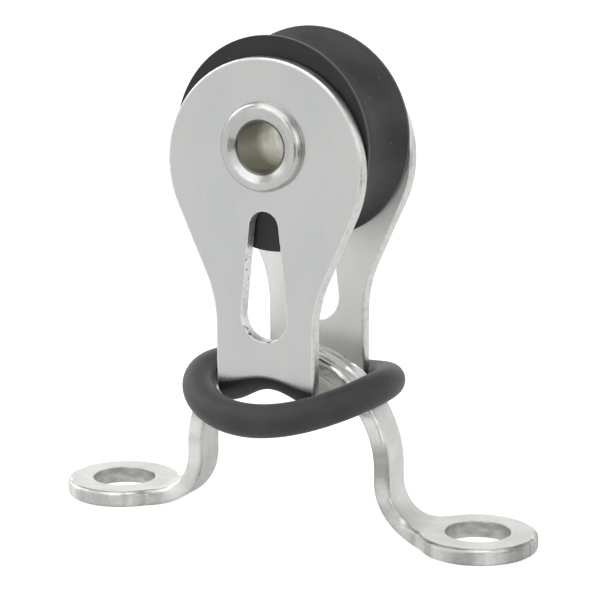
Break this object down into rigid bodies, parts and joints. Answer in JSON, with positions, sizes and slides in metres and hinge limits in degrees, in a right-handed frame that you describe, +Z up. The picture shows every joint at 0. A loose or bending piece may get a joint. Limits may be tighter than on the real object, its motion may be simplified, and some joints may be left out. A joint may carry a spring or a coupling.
{
  "type": "stand-up block",
  "caption": "Stand-up sailing block: grooved sheave between steel cheeks, hooked under a deck saddle and held upright by a rubber ring.",
  "frame": {"origin": "centre of the saddle on the deck plane, midway between the two screw holes", "axes": "+X from hole to hole along the saddle, +Y along the sheave's axle, +Z up from the deck"},
  "size_m": [0.047, 0.0208, 0.0446],
  "materials": {
    "saddle_steel": "tumbled bright stainless steel",
    "cheek_steel": "polished stainless sheet",
    "rivet_steel": "polished stainless tube",
    "sheave_plastic": "satin black acetal",
    "ring_rubber": "matt black rubber"
  },
  "bodies": {
    "saddle": {"saddle": "saddle_steel"},
    "ring": {"rubber_ring": "ring_rubber"},
    "block": {"cheek_strap": "cheek_steel", "axle_rivet": "rivet_steel"},
    "sheave": {"sheave": "sheave_plastic"}
  },
  "joints": [
    {"name": "sideways_rock", "type": "hinge", "parent": "saddle", "child": "ring", "pos_m": [0, 0, 0.0061], "axis": [0, 1, 0], "range_deg": [-10, 10], "stiffness_Nm_per_rad": 0.06},
    {"name": "fore_aft_lean", "type": "hinge", "parent": "ring", "child": "block", "pos_m": [0, 0, 0.01565], "axis": [1, 0, 0], "range_deg": [-20, 20], "stiffness_Nm_per_rad": 0.05},
    {"name": "sheave_spin", "type": "hinge", "parent": "block", "child": "sheave", "pos_m": [0, 0, 0.03515], "axis": [0, 1, 0], "continuous": true}
  ]
}
